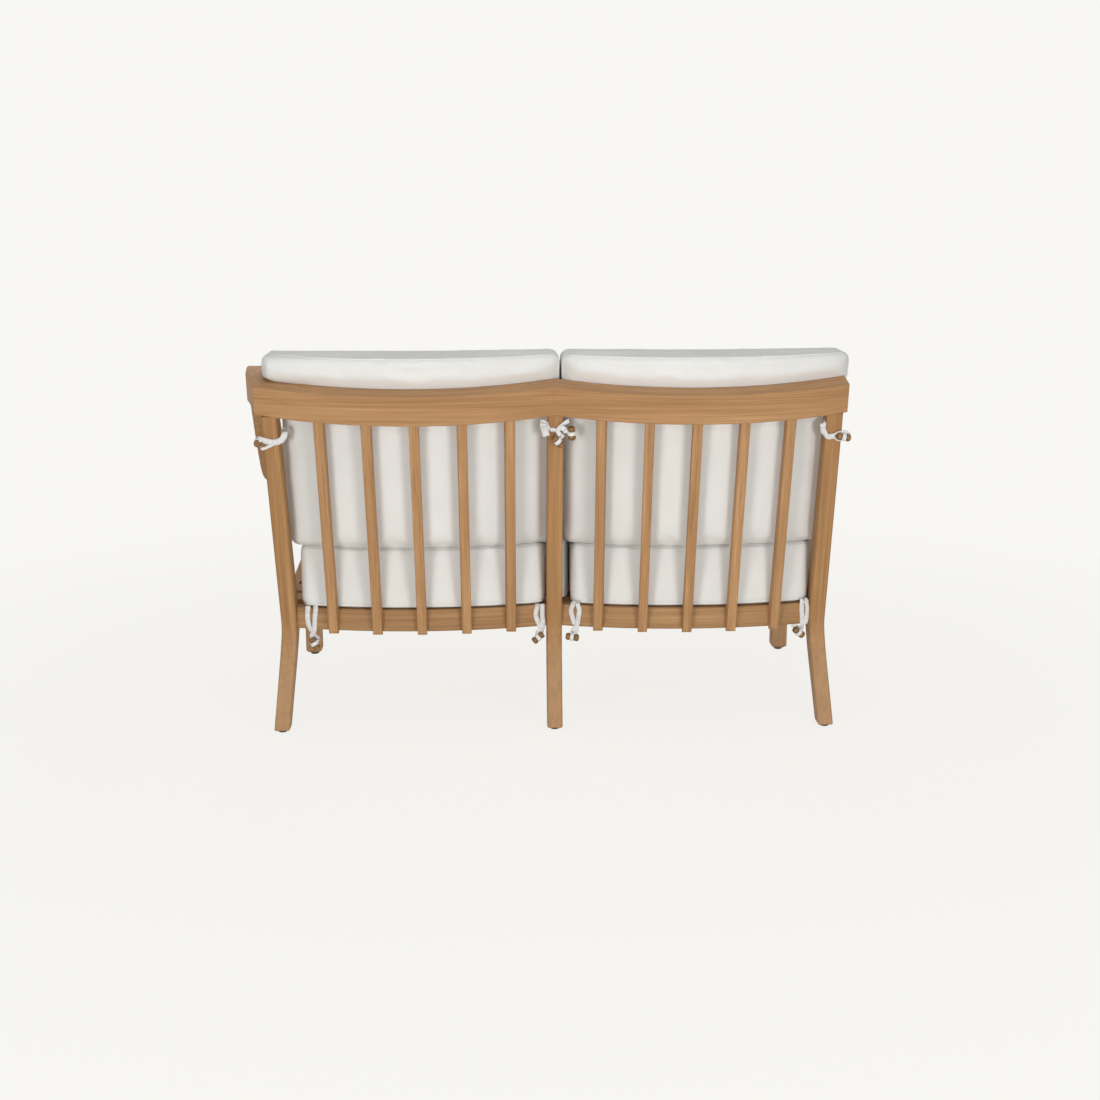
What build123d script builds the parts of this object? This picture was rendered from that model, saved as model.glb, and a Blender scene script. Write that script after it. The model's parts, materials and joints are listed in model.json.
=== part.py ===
from build123d import *
import os
from math import atan2, cos, degrees, pi, radians, sin, sqrt, tan

os.makedirs("parts", exist_ok=True)

# Patio loveseat with one swooping arm, two bays and tied cushions, in millimetres.
# +X points to the arm, +Y to the back and +Z up. The modelling frame has x = 0 on the
# centre post, y = 0 under the back glides and z = 0 on the ground. The finished pieces
# are moved together, so that the origin is the middle of the underside.

# Sizes that the rest follows: one bay, the seat's height and depth, the height of the back
# over the seat, its lean, and where the leaning plane starts at the height of the seat
BAY = 664.0
SEAT_TOP = 311.0
SEAT_DEPTH = 677.0
BACK_HEIGHT = 487.0
RECLINE = 11.0
BACK_BASE_Y = -9.66

# Top rail: two scooped planks, mitred over the centre post, square to the leaning back
SCOOP = 70.0
RAIL_DEPTH = 64.0
RAIL_HEIGHT = 70.0
RAIL_Y = BACK_BASE_Y + BACK_HEIGHT * tan(radians(RECLINE))
RAIL_Z = SEAT_TOP + BACK_HEIGHT
RAIL_OVERHANG = 10.0
ARRIS = 3.0

# Back posts: sabre legs and posts sawn from one plank each, in two directions
POST_WIDTH = 38.0
POST_TOP_DEPTH = 50.0
POST_KNEE_DEPTH = 60.0
POST_FOOT_DEPTH = 46.0
POST_SETBACK = 4.0
KNEE_DROP = 35.0
KNEE_RADIUS = 260.0
SPLAY_RADIUS = 420.0
END_POST_INSET = 10.0
END_POST_KNEE_X = BAY - END_POST_INSET
END_POST_SPLAY = 23.0
OPEN_POST_FLARE = 6.0
ARM_POST_FLARE = 17.0
POST_ARRIS = 3.0

# Glides under the five feet
GLIDE_DIAMETER = 24.0
GLIDE_HEIGHT = 7.0
GLIDE_CHAMFER = 1.5

# Seat frame
SEAT_RAIL_HEIGHT = 54.0
SEAT_RAIL_DEPTH = 34.0
SEAT_RAIL_Y = -35.0
SEAT_SCOOP = 48.0
SEAT_ARRIS = 3.0
DECK_THICKNESS = 18.0
DECK_LEDGE = 14.0
DECK_SLAT_WIDTH = 66.0
DECK_SLAT_COUNT = 6
DECK_FRONT_GAP = 14.0
DECK_BACK_GAP = 20.0
DECK_END_CLEARANCE = 0.5

# Front legs
LEG_WIDTH = 44.0
LEG_SPREAD = 19.0
LEG_X = END_POST_KNEE_X + LEG_SPREAD
LEG_CHAMFER = 7.0

# Back slats, five to a bay
SLAT_COUNT = 5
SLAT_SEAT_SHIFT = 2.0
SLAT_RAIL_SHIFT = 3.0
SLAT_SEAT_MARGIN = 112.0
SLAT_RAIL_MARGIN = 113.0
SLAT_WIDTH = 23.0
SLAT_DEPTH = 24.0
SLAT_ROUND = 3.0
SLAT_SETBACK = 10.0
SLAT_DROP = 6.0
SLAT_CHAMFER = 4.0

# Arm: level from the corner, down in one swoop, then level over the front leg
CORNER_REACH = 39.0
CORNER_X = BAY + CORNER_REACH
ARM_WIDTH = 62.0
ARM_SHOULDER_Y = -45.0
ARM_SHOULDER_REACH = 33.0
ARM_WIDEST_REACH = 65.0
ARM_NOSE_REACH = 49.0
ARM_OVERHANG = 45.0
ARM_RISE_Y = -16.3
ARM_HEIGHT = 292.0
ARM_LOW_Z = SEAT_TOP + ARM_HEIGHT
ARM_LOW_THICKNESS = 65.0
ARM_SWOOP_ANGLE = 48.0
ARM_SWOOP_Y = -237.0
ARM_CORNER_RADIUS = 300.0
ARM_SHOULDER_RADIUS = 140.0
ARM_VALLEY_RADIUS = 130.0
ARM_ARRIS = 6.0
ARM_LEG_RADIUS = 300.0
ARM_LEG_STRAIGHT = 45.0

# Cushions
SOFT_GAP = 0.3
CUSHION_PAIR_GAP = 1.0
SEAT_CUSHION_EASE = 9.0
SEAT_CUSHION_WIDTH = BAY - SEAT_CUSHION_EASE
SEAT_CUSHION_HEIGHT = 155.0
SEAT_CUSHION_SHIFT = 39.0
SEAT_CUSHION_OVERHANG = 8.0
SEAT_CUSHION_CORNER = 14.0
SEAT_CUSHION_EDGE = 10.0
SEAT_CUSHION_GAP = 4.0
CUSHION_POST_GAP = 2.0
BACK_CUSHION_RISE = 150.0
BACK_CUSHION_TOP = RAIL_Z + BACK_CUSHION_RISE
BACK_CUSHION_THICKNESS = 150.0
BACK_CUSHION_BOW = 35.0
BACK_CUSHION_SHIFT = 15.0
BACK_CUSHION_ARM_INSET = 18.0
BACK_CUSHION_OPEN_REACH = 30.0
BACK_CUSHION_ARM_X = BAY - BACK_CUSHION_ARM_INSET
BACK_CUSHION_OPEN_X = BAY + BACK_CUSHION_OPEN_REACH
BACK_CUSHION_CORNER = 14.0
BACK_CUSHION_EDGE = 12.0
BACK_CUSHION_GAP = 4.0

# Ties and toggles
STRAP_WIDTH = 15.0
STRAP_THICKNESS = 3.0
STRAP_GAP = 0.3
TOGGLE_LENGTH = 32.0
TOGGLE_DIAMETER = 18.0
TOGGLE_WAIST_DIAMETER = 12.0
TOGGLE_WAIST_WIDTH = 11.0
TOGGLE_CHAMFER = 2.5
TOGGLE_SIDES = 12
TOGGLE_GAP = 0.3
STRAP_SIDE_GAP = 0.8
STRAP_WRAP = 34.0

# Ties round the posts: side of the cushion, drop of the strap below the rail on that side
# and at its tail, reach of the tail and of the toggle beyond the middle of the post, drop
# of the toggle, and its turn in degrees
UPPER_TIES = {
    "centre_tie_1": (1, 40.0, 40.0, 44.0, 38.0, 40.0, 95.0),
    "centre_tie_2": (-1, 60.0, 60.0, 18.0, -6.0, 60.0, -50.0),
    "open_end_tie": (1, 44.0, 55.0, 29.0, 22.0, 54.0, -10.0),
}

# Tie at the arm: drop on the cushion's side and at the outer corner
ARM_TIE_DROP = 34.0
ARM_TIE_CORNER_DROP = 66.0

# Ties over the seat rail: side, place of the strap and of the toggle along the rail from the
# middle of the centre post, or back from that of the end post where below zero, drop of the
# toggle below the rail, and its turn in degrees
LOWER_TIES = {
    "arm_end_seat_tie": (1, -57.0, -66.0, 33.0, 62.0),
    "centre_seat_tie_1": (1, 38.0, 44.0, 25.0, -38.0),
    "centre_seat_tie_2": (-1, 52.0, 47.0, 24.0, 6.0),
    "open_end_seat_tie": (-1, -38.0, -51.0, 17.0, 40.0),
}

# Enough to cut through any piece
OVERRUN = 60.0
INNER_RUN = 200.0
REACH = 1600.0

# Directions of the leaning back
LEAN_SIN = sin(radians(RECLINE))
LEAN_COS = cos(radians(RECLINE))
LEAN_TAN = tan(radians(RECLINE))
SEAT_RAIL_Z = SEAT_TOP - SEAT_RAIL_HEIGHT
KNEE_Z = SEAT_RAIL_Z - KNEE_DROP
LEG_Y = -SEAT_DEPTH
SEAT_BAY = END_POST_KNEE_X
SLAT_SEAT_X = SEAT_BAY / 2 - SLAT_SEAT_SHIFT
SLAT_RAIL_X = BAY / 2 - SLAT_RAIL_SHIFT
SLAT_SEAT_PITCH = (SEAT_BAY - 2 * SLAT_SEAT_MARGIN) / (SLAT_COUNT - 1)
SLAT_RAIL_PITCH = (BAY - 2 * SLAT_RAIL_MARGIN) / (SLAT_COUNT - 1)
UP_BACK = Vector(0, LEAN_SIN, LEAN_COS)
OUT_BACK = Vector(0, LEAN_COS, -LEAN_SIN)


def leaning(drop=0.0):
    """Plane square to the back, at a distance below the underside of the top rail."""
    origin = (0, RAIL_Y - drop * LEAN_SIN, RAIL_Z - drop * LEAN_COS)
    return Plane(origin=origin, x_dir=(1, 0, 0), z_dir=(0, LEAN_SIN, LEAN_COS))


def arc_radius(half_chord, rise):
    return (half_chord ** 2 + rise ** 2) / (2 * rise)


def arc_height(x, half_chord, rise, inset=0.0):
    """Height over the chord of an arc that starts at x = 0, or of one inset from it."""
    radius = arc_radius(half_chord, rise)
    return sqrt((radius - inset) ** 2 - (x - half_chord) ** 2) - (radius - rise)


def rail_face(x, inset=0.0):
    """Back face of the top rail in its own plane, or a line that far in front of it."""
    return arc_height(abs(x), BAY / 2, SCOOP, inset)


def seat_face(x, inset=0.0):
    """Y of the back face of the rear seat rail, or of a line in front of it."""
    return SEAT_RAIL_Y + arc_height(abs(x), SEAT_BAY / 2, SEAT_SCOOP, inset)


def lean_point(x, across, drop=0.0):
    """World point from a place on a plane square to the back."""
    y = RAIL_Y + across * LEAN_COS - drop * LEAN_SIN
    z = RAIL_Z - across * LEAN_SIN - drop * LEAN_COS
    return (x, y, z)


def finish(piece, label):
    piece.part.label = label
    pieces[label] = piece.part


pieces = {}

# Shared outlines of the posts, seen from the side
POST_BACK_TOP = (lean_point(0, -POST_SETBACK)[1], lean_point(0, -POST_SETBACK)[2])
POST_FRONT_TOP = (
    lean_point(0, -POST_SETBACK - POST_TOP_DEPTH)[1],
    lean_point(0, -POST_SETBACK - POST_TOP_DEPTH)[2],
)
POST_BACK_KNEE = (POST_BACK_TOP[0] - (POST_BACK_TOP[1] - KNEE_Z) * LEAN_TAN, KNEE_Z)
POST_FRONT_KNEE = (POST_BACK_KNEE[0] - POST_KNEE_DEPTH, KNEE_Z)
POST_BACK_FOOT = (POST_FOOT_DEPTH / 2, GLIDE_HEIGHT)
POST_FRONT_FOOT = (-POST_FOOT_DEPTH / 2, GLIDE_HEIGHT)


def post_back_y(z):
    return POST_BACK_TOP[0] - (POST_BACK_TOP[1] - z) * LEAN_TAN


def post_front_y(z):
    share = (z - POST_FRONT_KNEE[1]) / (POST_FRONT_TOP[1] - POST_FRONT_KNEE[1])
    return POST_FRONT_KNEE[0] + (POST_FRONT_TOP[0] - POST_FRONT_KNEE[0]) * share


POST_LINE_TOP_Z = POST_FRONT_TOP[1] + OVERRUN


def make_post(label, foot_x, knee_x, top_x):
    """A post sawn twice: the sabre shape from the side, the splay from behind."""
    half = POST_WIDTH / 2
    top_z = POST_LINE_TOP_Z
    with BuildPart() as post:
        with BuildSketch(Plane.YZ):
            with BuildLine():
                FilletPolyline(POST_BACK_TOP, POST_BACK_KNEE, POST_BACK_FOOT, radius=KNEE_RADIUS)
                Line(POST_BACK_FOOT, POST_FRONT_FOOT)
                FilletPolyline(POST_FRONT_FOOT, POST_FRONT_KNEE, POST_FRONT_TOP, radius=KNEE_RADIUS)
                Line(POST_FRONT_TOP, POST_BACK_TOP)
            make_face()
        extrude(amount=REACH, both=True)
        with BuildSketch(Plane.XZ):
            with BuildLine():
                if foot_x == knee_x:
                    Polyline((knee_x - half, 0), (knee_x - half, top_z), (top_x + half, top_z),
                             (knee_x + half, 0), close=True)
                else:
                    FilletPolyline((foot_x - half, 0), (knee_x - half, SEAT_RAIL_Z), (top_x - half, top_z),
                                   radius=SPLAY_RADIUS)
                    Line((top_x - half, top_z), (top_x + half, top_z))
                    FilletPolyline((top_x + half, top_z), (knee_x + half, SEAT_RAIL_Z), (foot_x + half, 0),
                                   radius=SPLAY_RADIUS)
                    Line((foot_x + half, 0), (foot_x - half, 0))
            make_face()
        extrude(amount=REACH, both=True, mode=Mode.INTERSECT)
        top = post.faces().sort_by(Axis.Z)[-1].edges()
        chamfer([edge for edge in post.edges() if edge not in top], POST_ARRIS)
    finish(post, label)
    return post


centre_post = make_post("centre_post", 0.0, 0.0, 0.0)
arm_post = make_post("arm_side_post", END_POST_KNEE_X + END_POST_SPLAY, END_POST_KNEE_X,
                     END_POST_KNEE_X + ARM_POST_FLARE)
open_post = make_post("open_side_post", -END_POST_KNEE_X - END_POST_SPLAY, -END_POST_KNEE_X,
                      -END_POST_KNEE_X - OPEN_POST_FLARE)

# Corner where the arm-side rail and the arm are mitred, in the plane of the rail
RAIL_RADIUS = arc_radius(BAY / 2, SCOOP)
CORNER_BACK = (CORNER_X, rail_face(CORNER_X))
RAIL_HEADING = -degrees(atan2(CORNER_X - BAY / 2, CORNER_BACK[1] + RAIL_RADIUS - SCOOP))
SHOULDER = (CORNER_X + ARM_SHOULDER_REACH, (ARM_SHOULDER_Y - RAIL_Y) / LEAN_COS)
NOSE_Y = LEG_Y - ARM_OVERHANG
ARM_NOSE_X = CORNER_X + ARM_NOSE_REACH
NOSE = (ARM_NOSE_X, (NOSE_Y - RAIL_Y) / LEAN_COS)
WIDEST = (CORNER_X + ARM_WIDEST_REACH, (SHOULDER[1] + NOSE[1]) / 2)
ARM_HEADING = degrees(atan2(SHOULDER[1] - CORNER_BACK[1], SHOULDER[0] - CORNER_BACK[0]))
MITRE_ANGLE = (RAIL_HEADING + ARM_HEADING) / 2 + 90
MITRE_PLANE = Plane(
    origin=lean_point(*CORNER_BACK),
    x_dir=(0, LEAN_SIN, LEAN_COS),
    z_dir=(cos(radians(MITRE_ANGLE - 90)), sin(radians(MITRE_ANGLE - 90)) * LEAN_COS,
           -sin(radians(MITRE_ANGLE - 90)) * LEAN_SIN),
)


def make_top_rail(label, side, end_x):
    """One scooped half of the top rail, from the mitre at the centre to its outer end."""
    with BuildPart() as rail:
        with BuildSketch(leaning()):
            with BuildLine():
                ThreePointArc((0, rail_face(0)), (side * BAY / 2, rail_face(BAY / 2)),
                              (side * end_x, rail_face(end_x)))
                Line((side * end_x, rail_face(end_x)), (side * end_x, rail_face(end_x, RAIL_DEPTH)))
                ThreePointArc((side * end_x, rail_face(end_x, RAIL_DEPTH)),
                              (side * BAY / 2, rail_face(BAY / 2, RAIL_DEPTH)), (0, rail_face(0, RAIL_DEPTH)))
                Line((0, rail_face(0, RAIL_DEPTH)), (0, rail_face(0)))
            make_face()
        extrude(amount=RAIL_HEIGHT)
        chamfer(rail.edges().filter_by(GeomType.CIRCLE), ARRIS)
        if side > 0:
            split(bisect_by=MITRE_PLANE, keep=Keep.BOTTOM)
    finish(rail, label)


OPEN_END_X = END_POST_KNEE_X + OPEN_POST_FLARE + POST_WIDTH / 2 + RAIL_OVERHANG
make_top_rail("arm_side_top_rail", 1, CORNER_X + OVERRUN)
make_top_rail("open_side_top_rail", -1, OPEN_END_X)

# The arm: its plan is drawn in the plane of the rail, its swoop in the side view
SWOOP_TAN = tan(radians(ARM_SWOOP_ANGLE))
ARM_THICKNESS = RAIL_HEIGHT / LEAN_COS


def rail_top_z(y):
    top_y = lean_point(0, 0, -RAIL_HEIGHT)[1]
    return lean_point(0, 0, -RAIL_HEIGHT)[2] - (y - top_y) * LEAN_TAN


ARM_HIGH_Z = rail_top_z(ARM_RISE_Y)
ARM_VALLEY_Y = ARM_SWOOP_Y - (ARM_HIGH_Z - ARM_LOW_Z) / SWOOP_TAN
ARM_UNDER_SHIFT = RAIL_HEIGHT / sin(radians(ARM_SWOOP_ANGLE)) - ARM_THICKNESS / SWOOP_TAN
ARM_UNDER_SWOOP_Y = ARM_SWOOP_Y + ARM_UNDER_SHIFT
ARM_UNDER_Z = ARM_LOW_Z - ARM_LOW_THICKNESS
ARM_UNDER_VALLEY_Y = ARM_UNDER_SWOOP_Y - (ARM_HIGH_Z - ARM_THICKNESS - ARM_UNDER_Z) / SWOOP_TAN

with BuildPart() as arm:
    with BuildSketch(Plane.YZ):
        with BuildLine():
            behind_y = RAIL_Y + OVERRUN
            FilletPolyline(
                (behind_y, rail_top_z(behind_y)),
                (ARM_RISE_Y, ARM_HIGH_Z),
                (ARM_SWOOP_Y, ARM_HIGH_Z),
                (ARM_VALLEY_Y, ARM_LOW_Z),
                (NOSE_Y, ARM_LOW_Z),
                radius=(ARM_CORNER_RADIUS, ARM_SHOULDER_RADIUS, ARM_VALLEY_RADIUS),
            )
            Line((NOSE_Y, ARM_LOW_Z), (NOSE_Y, ARM_UNDER_Z))
            FilletPolyline(
                (NOSE_Y, ARM_UNDER_Z),
                (ARM_UNDER_VALLEY_Y, ARM_UNDER_Z),
                (ARM_UNDER_SWOOP_Y, ARM_HIGH_Z - ARM_THICKNESS),
                (ARM_RISE_Y, ARM_HIGH_Z - ARM_THICKNESS),
                (behind_y, rail_top_z(behind_y) - ARM_THICKNESS),
                radius=(ARM_VALLEY_RADIUS + ARM_LOW_THICKNESS, ARM_SHOULDER_RADIUS, ARM_CORNER_RADIUS),
            )
            Line((behind_y, rail_top_z(behind_y) - ARM_THICKNESS), (behind_y, rail_top_z(behind_y)))
        make_face()
    extrude(amount=REACH)
    with BuildSketch(leaning()):
        with BuildLine():
            heading = Vector(SHOULDER[0] - CORNER_BACK[0], SHOULDER[1] - CORNER_BACK[1]).normalized()
            start = (CORNER_BACK[0] - heading.X * OVERRUN, CORNER_BACK[1] - heading.Y * OVERRUN)
            Line(start, CORNER_BACK)
            Line(CORNER_BACK, SHOULDER)
            ThreePointArc(SHOULDER, WIDEST, NOSE)
            Line(NOSE, (NOSE[0] - ARM_WIDTH, NOSE[1]))
            ThreePointArc((NOSE[0] - ARM_WIDTH, NOSE[1]), (WIDEST[0] - ARM_WIDTH, WIDEST[1]),
                          (SHOULDER[0] - ARM_WIDTH, SHOULDER[1]))
            inner_start = Vector(SHOULDER[0] - ARM_WIDTH, SHOULDER[1])
            inner = Line(inner_start, inner_start - heading * INNER_RUN)
            Line(inner @ 1, start)
        make_face()
    extrude(amount=REACH, both=True, mode=Mode.INTERSECT)
    split(bisect_by=MITRE_PLANE, keep=Keep.TOP)
    mitre = arm.faces().sort_by(Axis(lean_point(*CORNER_BACK), MITRE_PLANE.z_dir))[0].edges()
    fillet([edge for edge in arm.edges() if edge not in mitre], ARM_ARRIS)
finish(arm, "arm")


# Front legs
ARM_LEG_TOP_X = ARM_NOSE_X - ARM_WIDTH / 2
ARM_LEG_FLARE_Z = SEAT_TOP + ARM_LEG_STRAIGHT
LEG_HALF = LEG_WIDTH / 2

with BuildPart() as open_leg:
    with BuildSketch(Plane.XY.offset(GLIDE_HEIGHT)):
        with Locations((-LEG_X, LEG_Y)):
            Rectangle(LEG_WIDTH, LEG_WIDTH)
    extrude(amount=SEAT_TOP - GLIDE_HEIGHT)
    chamfer(open_leg.faces().sort_by(Axis.Z)[0].edges(), LEG_CHAMFER)
    fillet(open_leg.edges().filter_by(Axis.Z), SEAT_ARRIS)
finish(open_leg, "open_side_front_leg")

with BuildPart() as arm_leg:
    with BuildSketch(Plane.XZ.offset(SEAT_DEPTH)):
        with BuildLine():
            FilletPolyline((LEG_X - LEG_HALF, GLIDE_HEIGHT), (LEG_X - LEG_HALF, ARM_LEG_FLARE_Z),
                           (ARM_LEG_TOP_X - LEG_HALF, ARM_UNDER_Z), radius=ARM_LEG_RADIUS)
            Line((ARM_LEG_TOP_X - LEG_HALF, ARM_UNDER_Z), (ARM_LEG_TOP_X + LEG_HALF, ARM_UNDER_Z))
            FilletPolyline((ARM_LEG_TOP_X + LEG_HALF, ARM_UNDER_Z), (LEG_X + LEG_HALF, ARM_LEG_FLARE_Z),
                           (LEG_X + LEG_HALF, GLIDE_HEIGHT), radius=ARM_LEG_RADIUS)
            Line((LEG_X + LEG_HALF, GLIDE_HEIGHT), (LEG_X - LEG_HALF, GLIDE_HEIGHT))
        make_face()
    extrude(amount=LEG_HALF, both=True)
    chamfer(arm_leg.faces().sort_by(Axis.Z)[0].edges(), LEG_CHAMFER)
finish(arm_leg, "arm_side_front_leg")


# Rear seat rails: curved to the scoop of the back, butted between the posts
def make_seat_rail(label, side, end_post):
    with BuildPart() as rail:
        with BuildSketch(Plane.XY.offset(SEAT_RAIL_Z)):
            with BuildLine():
                ThreePointArc((0, seat_face(0)), (side * SEAT_BAY / 2, seat_face(SEAT_BAY / 2)),
                              (side * SEAT_BAY, seat_face(SEAT_BAY)))
                Line((side * SEAT_BAY, seat_face(SEAT_BAY)),
                     (side * SEAT_BAY, seat_face(SEAT_BAY, SEAT_RAIL_DEPTH)))
                ThreePointArc((side * SEAT_BAY, seat_face(SEAT_BAY, SEAT_RAIL_DEPTH)),
                              (side * SEAT_BAY / 2, seat_face(SEAT_BAY / 2, SEAT_RAIL_DEPTH)),
                              (0, seat_face(0, SEAT_RAIL_DEPTH)))
                Line((0, seat_face(0, SEAT_RAIL_DEPTH)), (0, seat_face(0)))
            make_face()
        extrude(amount=SEAT_RAIL_HEIGHT)
        chamfer(rail.edges().filter_by(GeomType.CIRCLE), SEAT_ARRIS)
        add(centre_post.part, mode=Mode.SUBTRACT)
        add(end_post.part, mode=Mode.SUBTRACT)
    finish(rail, label)


make_seat_rail("arm_side_rear_seat_rail", 1, arm_post)
make_seat_rail("open_side_rear_seat_rail", -1, open_post)

with BuildPart() as front_rail:
    with BuildSketch(Plane.XY.offset(SEAT_RAIL_Z)):
        with Locations((0, LEG_Y)):
            Rectangle(2 * LEG_X - LEG_WIDTH, SEAT_RAIL_DEPTH)
    extrude(amount=SEAT_RAIL_HEIGHT)
    fillet(front_rail.edges().filter_by(Axis.X), SEAT_ARRIS)
finish(front_rail, "front_seat_rail")


# Side and centre rails, each with a ledge that the deck slats lie on
def side_rail_x(y, inset=0.0):
    """Inner face of a side rail, or a line set into it."""
    middle = END_POST_KNEE_X + (LEG_X - END_POST_KNEE_X) * y / LEG_Y
    return middle - SEAT_RAIL_DEPTH / 2 + inset


def make_side_rail(label, side, end_post, leg):
    with BuildPart() as rail:
        with BuildSketch(Plane.XY.offset(SEAT_RAIL_Z)):
            with BuildLine():
                Polyline(
                    (side * side_rail_x(SEAT_RAIL_Y), SEAT_RAIL_Y),
                    (side * side_rail_x(LEG_Y), LEG_Y),
                    (side * side_rail_x(LEG_Y, SEAT_RAIL_DEPTH), LEG_Y),
                    (side * side_rail_x(SEAT_RAIL_Y, SEAT_RAIL_DEPTH), SEAT_RAIL_Y),
                    close=True,
                )
            make_face()
        extrude(amount=SEAT_RAIL_HEIGHT)
        with BuildSketch(Plane.XY.offset(SEAT_TOP - DECK_THICKNESS)):
            with BuildLine():
                Polyline(
                    (side * side_rail_x(SEAT_RAIL_Y, -OVERRUN), SEAT_RAIL_Y),
                    (side * side_rail_x(LEG_Y, -OVERRUN), LEG_Y),
                    (side * side_rail_x(LEG_Y, DECK_LEDGE), LEG_Y),
                    (side * side_rail_x(SEAT_RAIL_Y, DECK_LEDGE), SEAT_RAIL_Y),
                    close=True,
                )
            make_face()
        extrude(amount=DECK_THICKNESS, mode=Mode.SUBTRACT)
        add(end_post.part, mode=Mode.SUBTRACT)
        add(leg.part, mode=Mode.SUBTRACT)
    finish(rail, label)


make_side_rail("arm_side_seat_rail", 1, arm_post, arm_leg)
make_side_rail("open_side_seat_rail", -1, open_post, open_leg)

FRONT_RAIL_BACK_Y = LEG_Y + SEAT_RAIL_DEPTH / 2
with BuildPart() as centre_rail:
    with BuildSketch(Plane.XY.offset(SEAT_RAIL_Z)):
        with BuildLine():
            Polyline(
                (-POST_WIDTH / 2, FRONT_RAIL_BACK_Y),
                (POST_WIDTH / 2, FRONT_RAIL_BACK_Y),
                (POST_WIDTH / 2, SEAT_RAIL_Y),
                (-POST_WIDTH / 2, SEAT_RAIL_Y),
                close=True,
            )
        make_face()
    extrude(amount=SEAT_RAIL_HEIGHT - DECK_THICKNESS)
    add(centre_post.part, mode=Mode.SUBTRACT)
finish(centre_rail, "centre_seat_rail")

# Deck boards lie on the ledges of the side rails and on the centre rail
DECK_FRONT_Y = FRONT_RAIL_BACK_Y + DECK_FRONT_GAP
DECK_BACK_Y = post_front_y(SEAT_RAIL_Z) - DECK_BACK_GAP - DECK_SLAT_WIDTH
DECK_PITCH = (DECK_BACK_Y - DECK_FRONT_Y) / (DECK_SLAT_COUNT - 1)
DECK_END_INSET = DECK_LEDGE - DECK_END_CLEARANCE

for index in range(DECK_SLAT_COUNT):
    front_y = DECK_FRONT_Y + index * DECK_PITCH
    back_y = front_y + DECK_SLAT_WIDTH
    with BuildPart() as board:
        with BuildSketch(Plane.XY.offset(SEAT_TOP - DECK_THICKNESS)):
            with BuildLine():
                Polyline(
                    (-side_rail_x(front_y, DECK_END_INSET), front_y),
                    (side_rail_x(front_y, DECK_END_INSET), front_y),
                    (side_rail_x(back_y, DECK_END_INSET), back_y),
                    (-side_rail_x(back_y, DECK_END_INSET), back_y),
                    close=True,
                )
            make_face()
        extrude(amount=DECK_THICKNESS)
    finish(board, f"deck_board_{index + 1}")


# Back slats: each stands flat on the curve of the seat rail, leans into the underside of
# the top rail, and is cut back where it laps the seat rail
def make_slat(label, side, step):
    seat_x = SLAT_SEAT_X + step * SLAT_SEAT_PITCH
    rail_x = SLAT_RAIL_X + step * SLAT_RAIL_PITCH
    seat_radius = arc_radius(SEAT_BAY / 2, SEAT_SCOOP)
    slope = (seat_x - SEAT_BAY / 2) / sqrt(seat_radius ** 2 - (seat_x - SEAT_BAY / 2) ** 2)
    foot = Vector(side * seat_x, seat_face(seat_x), SEAT_TOP)
    head = Vector(*lean_point(side * rail_x, rail_face(rail_x) - SLAT_SETBACK - SLAT_DEPTH))
    stand = Plane(origin=foot, x_dir=(1, -side * slope, 0), z_dir=head - foot)
    heel = foot + stand.y_dir * SLAT_DEPTH
    heel += stand.z_dir * ((SEAT_RAIL_Z - SLAT_DROP - heel.Z) / stand.z_dir.Z)
    with BuildPart() as slat:
        with BuildSketch(stand):
            with Locations((0, SLAT_DEPTH / 2)):
                RectangleRounded(SLAT_WIDTH, SLAT_DEPTH, SLAT_ROUND)
        extrude(amount=(head - foot).length + OVERRUN, both=True)
        split(bisect_by=leaning(), keep=Keep.BOTTOM)
        split(bisect_by=Plane.XY.offset(SEAT_RAIL_Z - SLAT_DROP), keep=Keep.TOP)
        with BuildSketch(Plane.XY.offset(SEAT_TOP)):
            with BuildLine():
                ThreePointArc((0, seat_face(0)), (side * SEAT_BAY / 2, seat_face(SEAT_BAY / 2)),
                              (side * SEAT_BAY, seat_face(SEAT_BAY)))
                Polyline((side * SEAT_BAY, seat_face(SEAT_BAY)), (side * SEAT_BAY, LEG_Y), (0, LEG_Y),
                         (0, seat_face(0)))
            make_face()
        extrude(amount=-SEAT_TOP, mode=Mode.SUBTRACT)
        split(bisect_by=Plane(origin=heel - Vector(0, SLAT_CHAMFER, 0), z_dir=(0, -1, 1)), keep=Keep.TOP)
    finish(slat, label)


for side, place in ((1, "arm_side"), (-1, "open_side")):
    for index in range(SLAT_COUNT):
        make_slat(f"{place}_back_slat_{index + 1}", side, index - (SLAT_COUNT - 1) / 2)


# Glides
GLIDE_PLACES = {
    "centre_post_glide": (0, 0),
    "arm_side_post_glide": (END_POST_KNEE_X + END_POST_SPLAY, 0),
    "open_side_post_glide": (-END_POST_KNEE_X - END_POST_SPLAY, 0),
    "arm_side_front_glide": (LEG_X, LEG_Y),
    "open_side_front_glide": (-LEG_X, LEG_Y),
}
for label, place in GLIDE_PLACES.items():
    with BuildPart() as glide:
        with BuildSketch():
            with Locations(place):
                Circle(GLIDE_DIAMETER / 2)
        extrude(amount=GLIDE_HEIGHT)
        chamfer(glide.faces().sort_by(Axis.Z)[0].edges(), GLIDE_CHAMFER)
    finish(glide, label)

# Seat cushions: the back edge follows the seat rail and steps round the posts
SEAT_CUSHION_Z = SEAT_TOP + SOFT_GAP
SEAT_CUSHION_TOP = SEAT_CUSHION_Z + SEAT_CUSHION_HEIGHT
SEAT_CUSHION_FRONT_Y = LEG_Y - SEAT_RAIL_DEPTH / 2 - SEAT_CUSHION_OVERHANG
CUSHION_NOTCH_Y = post_front_y(SEAT_TOP) - CUSHION_POST_GAP


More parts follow.
